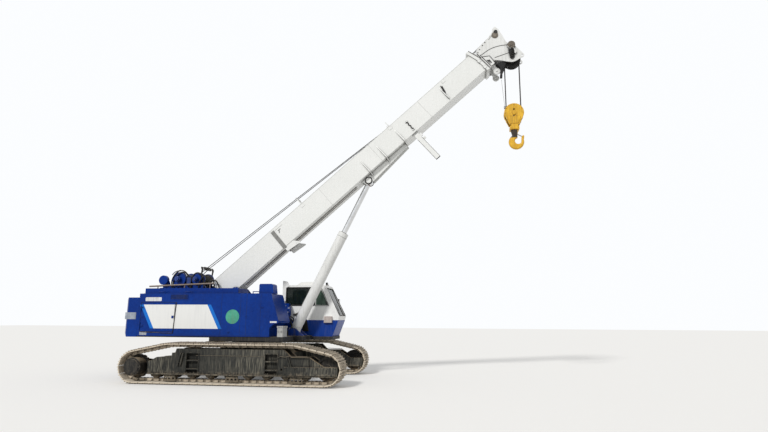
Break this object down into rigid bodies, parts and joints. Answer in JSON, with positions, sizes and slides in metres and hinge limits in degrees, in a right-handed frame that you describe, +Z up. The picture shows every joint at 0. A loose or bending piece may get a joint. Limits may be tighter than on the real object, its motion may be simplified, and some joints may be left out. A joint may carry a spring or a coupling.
{
  "type": "crawler crane",
  "caption": "Crawler crane on two tracks with a slewing deck, a cab beside a raised telescopic box boom, a lift cylinder, winches and a hanging hook block.",
  "frame": {"origin": "on the ground under the middle of the parked machine's bounding box", "axes": "+X the way the boom points, +Y to the machine's left, +Z up"},
  "size_m": [11.4755, 4.24, 10.5531],
  "materials": {
    "frame_steel": "weathered black paint with dried mud",
    "track_steel": "worn steel under tan dust",
    "drive_steel": "dark paint with grease and dirt",
    "deck_paint": "black satin paint, dusty",
    "blue_paint": "royal blue gloss paint, scratched",
    "grey_paint": "light grey paint",
    "engine_iron": "grey paint, oily",
    "rail_steel": "grey-brown worn paint",
    "cab_paint": "white above, blue below, semi-gloss",
    "window_glass": "clear glass with dust",
    "seat_fabric": "dark woven cover",
    "console_plastic": "dark grey plastic",
    "winch_paint": "blue paint, greasy",
    "white_paint": "white semi-gloss paint, grime streaks",
    "sheave_iron": "black, greased groove",
    "rod_chrome": "polished",
    "yellow_paint": "yellow paint, chipped",
    "rope_steel": "greased wire rope"
  },
  "bodies": {
    "undercarriage": {"carbody": "frame_steel", "slew_ring": "frame_steel", "track_frame_left": "frame_steel", "track_frame_right": "frame_steel", "track_left": "track_steel", "track_right": "track_steel", "final_drive_left": "drive_steel", "final_drive_right": "drive_steel", "idler_left": "drive_steel", "idler_right": "drive_steel", "rollers_left": "drive_steel", "rollers_right": "drive_steel"},
    "upper": {"deck": "deck_paint", "boom_carrier": "blue_paint", "counterweight": "blue_paint", "hood": "blue_paint", "battery_box": "grey_paint", "engine": "engine_iron", "air_intake": "blue_paint", "hood_rail": "rail_steel", "hydraulic_tank": "blue_paint", "fuel_tank": "blue_paint", "cab_shell": "cab_paint", "cab_glass": "window_glass", "seat": "seat_fabric", "console": "console_plastic"},
    "hood_door": {"hood_door": "blue_paint"},
    "cab_door": {"cab_door": "cab_paint", "door_glass": "window_glass"},
    "main_winch": {"main_winch": "winch_paint"},
    "aux_winch": {"aux_winch": "winch_paint"},
    "boom_base": {"boom_base": "white_paint", "stow_arm": "white_paint"},
    "boom_second": {"boom_second": "white_paint"},
    "boom_third": {"boom_third": "white_paint"},
    "boom_tip": {"boom_tip": "white_paint", "boom_head": "white_paint"},
    "head_sheaves": {"head_sheaves": "sheave_iron"},
    "nose_sheave": {"nose_sheave": "sheave_iron"},
    "lift_rod": {"lift_rod": "rod_chrome"},
    "lift_barrel": {"lift_barrel": "white_paint"},
    "hook_block": {"hook_block": "yellow_paint", "hoist_falls": "rope_steel"},
    "block_sheaves": {"block_sheaves": "sheave_iron"},
    "hook": {"hook": "yellow_paint"}
  },
  "joints": [
    {"name": "swing", "type": "hinge", "parent": "undercarriage", "child": "upper", "pos_m": [-2.32, 0, 1.095], "axis": [0, 0, 1], "continuous": true},
    {"name": "boom_luff", "type": "hinge", "parent": "upper", "child": "boom_base", "pos_m": [-2.92592, 0, 2.51317], "axis": [0, -1, 0], "range_deg": [-41.2, 36.8]},
    {"name": "second_slide", "type": "slide", "parent": "boom_base", "child": "boom_second", "axis": [0.7524, 0, 0.6587], "range_m": [0, 6.4]},
    {"name": "third_slide", "type": "slide", "parent": "boom_second", "child": "boom_third", "axis": [0.7524, 0, 0.6587], "range_m": [0, 6.4]},
    {"name": "tip_slide", "type": "slide", "parent": "boom_third", "child": "boom_tip", "axis": [0.7524, 0, 0.6587], "range_m": [0, 6.4]},
    {"name": "head_sheave_spin", "type": "hinge", "parent": "boom_tip", "child": "head_sheaves", "pos_m": [5.39868, 0, 9.5217], "axis": [0, 1, 0], "continuous": true},
    {"name": "nose_sheave_spin", "type": "hinge", "parent": "boom_tip", "child": "nose_sheave", "pos_m": [4.93093, 0, 10.37482], "axis": [0, 1, 0], "continuous": true},
    {"name": "block_hang", "type": "hinge", "parent": "boom_tip", "child": "hook_block", "pos_m": [5.39868, 0, 9.5217], "axis": [0, -1, 0], "range_deg": [-36.8, 41.2]},
    {"name": "block_sheave_spin", "type": "hinge", "parent": "hook_block", "child": "block_sheaves", "pos_m": [5.39868, 0, 7.78], "axis": [0, 1, 0], "continuous": true},
    {"name": "hook_swivel", "type": "hinge", "parent": "hook_block", "child": "hook", "pos_m": [5.39868, 0, 7.275], "axis": [0, 0, 1], "continuous": true},
    {"name": "rod_pivot", "type": "hinge", "parent": "boom_base", "child": "lift_rod", "pos_m": [1.01987, 0, 5.81992], "axis": [0, -1, 0], "range_deg": [-3, 3]},
    {"name": "barrel_slide", "type": "slide", "parent": "lift_rod", "child": "lift_barrel", "axis": [-0.4408, 0, -0.8976], "range_m": [-1.45, 1.3]},
    {"name": "main_winch_spin", "type": "hinge", "parent": "upper", "child": "main_winch", "pos_m": [-4.705, 0, 2.855], "axis": [0, 1, 0], "continuous": true},
    {"name": "aux_winch_spin", "type": "hinge", "parent": "upper", "child": "aux_winch", "pos_m": [-4.145, 0, 2.855], "axis": [0, 1, 0], "continuous": true},
    {"name": "hood_door_hinge", "type": "hinge", "parent": "upper", "child": "hood_door", "pos_m": [-5.25, -1.415, 1.735], "axis": [0, 0, -1], "range_deg": [0, 110]},
    {"name": "cab_door_hinge", "type": "hinge", "parent": "upper", "child": "cab_door", "pos_m": [-1.56, 1.415, 1.9], "axis": [0, 0, 1], "range_deg": [0, 100]}
  ],
  "couplings": [
    {"joint": "third_slide", "follows": "second_slide", "ratio": 1},
    {"joint": "tip_slide", "follows": "second_slide", "ratio": 1},
    {"joint": "block_hang", "follows": "boom_luff", "ratio": -1},
    {"joint": "rod_pivot", "follows": "boom_luff", "ratio": 0.07},
    {"joint": "barrel_slide", "follows": "boom_luff", "m_per_rad": 1.95}
  ]
}
